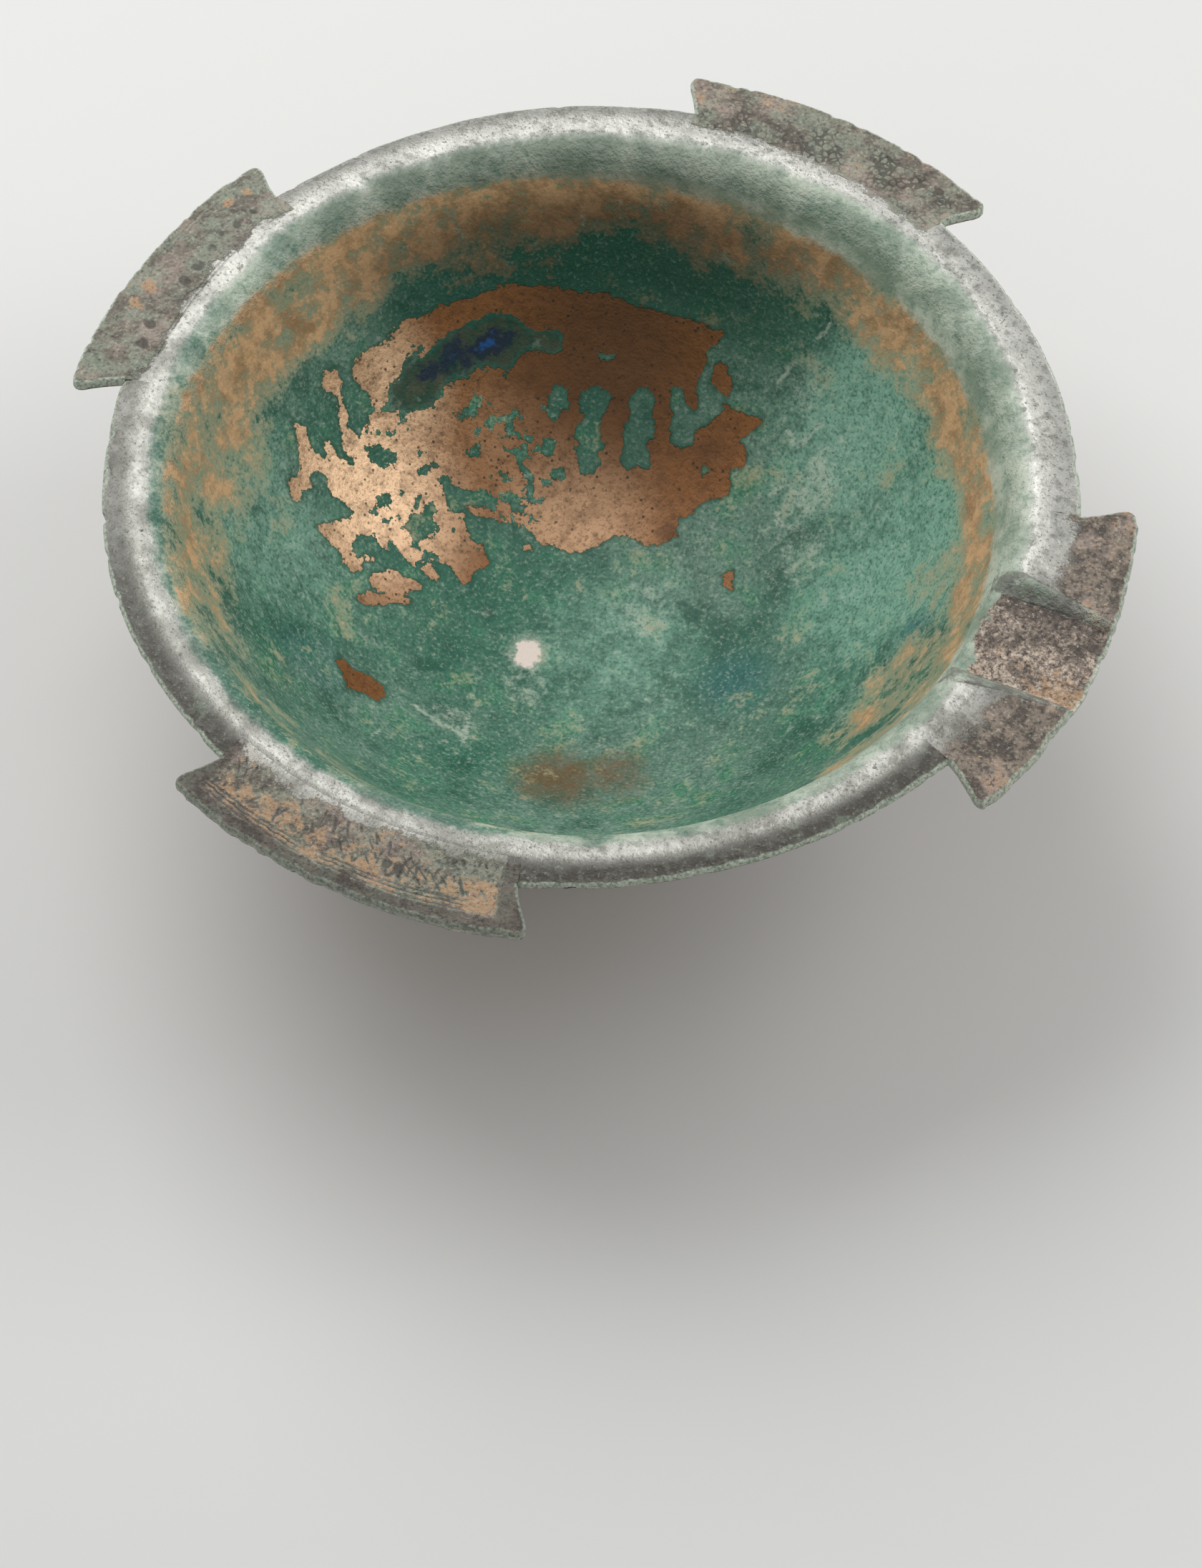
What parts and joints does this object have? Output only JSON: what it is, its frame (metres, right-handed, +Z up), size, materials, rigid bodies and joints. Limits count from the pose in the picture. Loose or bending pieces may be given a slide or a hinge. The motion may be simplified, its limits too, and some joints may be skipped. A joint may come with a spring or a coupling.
{
  "type": "tripod incense burner",
  "caption": "Weathered cast bronze tripod incense burner: a deep round bowl with a rolled rim, crescent lugs at its quarters, one with a pouring trough, on short splayed feet.",
  "frame": {"origin": "On the floor, under the axis of the bowl.", "axes": "+X points along the trough of the spout lug, +Z points up out of the bowl, and +Y completes the right-handed frame towards the left lug."},
  "size_m": [0.24, 0.24, 0.0868],
  "materials": {
    "green_bronze": "matte green patina inside with bare copper patches, sandy brown crust outside",
    "worn_bronze": "worn grey-green metal with a bright crest and a dark edge",
    "grained_bronze": "grained grey-brown with engraved lines and pale green edges",
    "earthy_bronze": "sandy tan crust with dark specks"
  },
  "bodies": {
    "root": {"basin": "green_bronze", "rim": "worn_bronze", "spout_lug": "grained_bronze", "left_lug": "grained_bronze", "rear_lug": "grained_bronze", "right_lug": "grained_bronze", "spout_foot": "earthy_bronze", "left_foot": "earthy_bronze", "right_foot": "earthy_bronze", "gate_stub": "earthy_bronze"}
  },
  "joints": []
}
